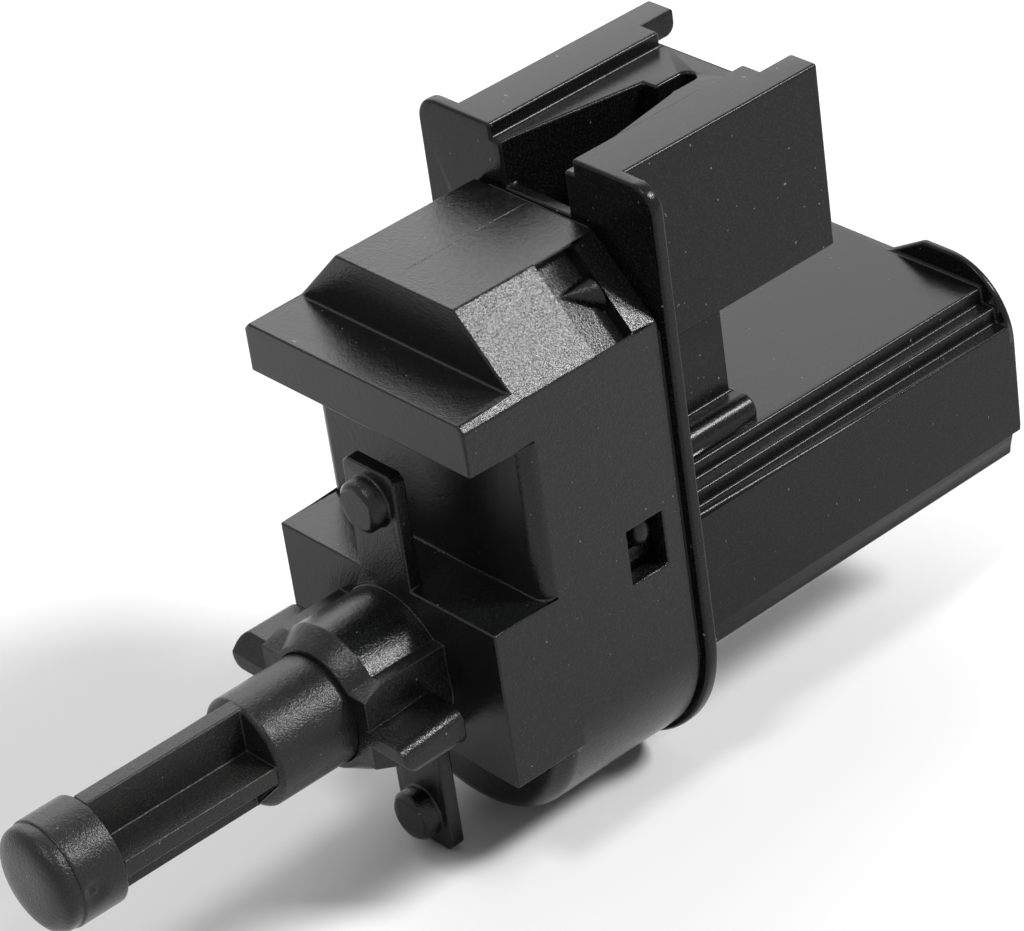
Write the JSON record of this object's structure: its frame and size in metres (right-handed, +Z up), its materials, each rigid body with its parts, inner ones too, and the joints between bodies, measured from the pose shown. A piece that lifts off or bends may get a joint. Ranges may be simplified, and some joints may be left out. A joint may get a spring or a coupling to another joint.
{
  "type": "clutch pedal switch",
  "caption": "Black plastic clutch pedal switch: sprung plunger, bayonet collar with detent arms, moulded body with clip cradle and a four-way connector shroud.",
  "frame": {"origin": "on the plunger's axis, in the seat plane at the root of the bayonet collar", "axes": "+Y from the plunger to the connector, +Z up through the clip cradle, +X to the right seen from the connector's end looking at the plunger's back"},
  "size_m": [0.0228, 0.0806, 0.0466],
  "materials": {
    "housing_front_black": "spark-eroded fine grain",
    "housing_rear_black": "fine grain with smooth flats",
    "plunger_black": "moulded satin",
    "cap_black": "moulded semi-gloss",
    "carrier_natural": "moulded matte",
    "bumper_rubber": "matte",
    "contact_brass": "stamped strip",
    "tip_silver": "riveted contact",
    "spring_steel": "drawn wire",
    "base_black": "moulded matte",
    "terminal_tin": "tin plated",
    "gasket_rubber": "matte",
    "seal_rubber": "matte",
    "retainer_black": "moulded matte"
  },
  "bodies": {
    "housing": {"front_housing": "housing_front_black", "rear_housing": "housing_rear_black", "return_spring": "spring_steel", "spring_stand": "carrier_natural", "terminal_base": "base_black", "terminal_1": "terminal_tin", "terminal_2": "terminal_tin", "terminal_3": "terminal_tin", "terminal_4": "terminal_tin", "housing_gasket": "gasket_rubber", "plunger_seal": "seal_rubber", "seal_retainer": "retainer_black"},
    "plunger_group": {"plunger": "plunger_black", "plunger_cap": "cap_black", "contact_carrier": "carrier_natural", "stop_bumper": "bumper_rubber", "contact_bridge_right": "contact_brass", "contact_bridge_left": "contact_brass", "contact_tips_right": "tip_silver", "contact_tips_left": "tip_silver", "contact_spring_right": "spring_steel", "contact_spring_left": "spring_steel"}
  },
  "joints": [
    {"name": "plunger_slide", "type": "slide", "parent": "housing", "child": "plunger_group", "axis": [0, 1, 0], "range_m": [0, 0.009], "stiffness_N_per_m": 500, "springref_m": -0.004, "deforming": ["return_spring"]}
  ]
}
